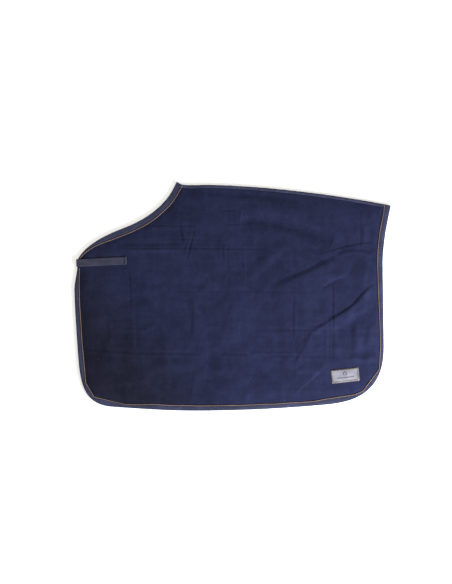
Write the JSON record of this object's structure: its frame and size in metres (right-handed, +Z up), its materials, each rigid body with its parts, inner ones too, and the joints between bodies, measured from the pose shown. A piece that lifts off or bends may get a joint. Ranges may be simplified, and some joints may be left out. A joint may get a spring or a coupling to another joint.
{
  "type": "fleece horse rug",
  "caption": "Fleece horse rug folded in half along its spine, with bound and piped edges, a chest strap with hook-and-loop tape and a metal badge on the hindquarter.",
  "frame": {"origin": "under the middle of the folded rug's box, on the surface that it lies on", "axes": "+X from the chest to the tail, +Y from the hem to the spine, +Z up through the near half"},
  "size_m": [1.583, 1.1446, 0.018],
  "materials": {
    "fleece": "matte",
    "braid": "matte",
    "piping": "satin",
    "webbing": "matte",
    "hook_tape": "matte",
    "loop_tape": "matte",
    "leather": "satin",
    "bright_metal": "satin",
    "satin_metal": "satin",
    "label_cloth": "matte"
  },
  "bodies": {
    "off_side": {"off_panel": "fleece", "off_neck_binding": "braid", "off_body_binding": "braid", "off_neck_piping": "piping", "off_body_piping": "piping", "off_spine_braid": "braid", "off_loop_patch": "loop_tape"},
    "near_side": {"near_panel": "fleece", "near_neck_binding": "braid", "near_body_binding": "braid", "near_neck_piping": "piping", "near_body_piping": "piping", "near_spine_braid": "braid", "strap_anchor": "webbing", "care_label": "label_cloth", "badge_backing": "leather", "badge_frame": "bright_metal", "badge_plate": "satin_metal"},
    "chest_strap": {"chest_strap_webbing": "webbing", "chest_strap_hook_tape": "hook_tape"}
  },
  "joints": [
    {"name": "spine_fold", "type": "hinge", "parent": "off_side", "child": "near_side", "pos_m": [0.33809, 0.5252, 0.0065], "axis": [-0.994, 0.1097, 0], "range_deg": [0, 179]},
    {"name": "chest_strap_fold", "type": "hinge", "parent": "near_side", "child": "chest_strap", "pos_m": [-0.7794, 0.1668, 0.01315], "axis": [0.0489, -0.9988, 0], "range_deg": [0, 179]}
  ]
}
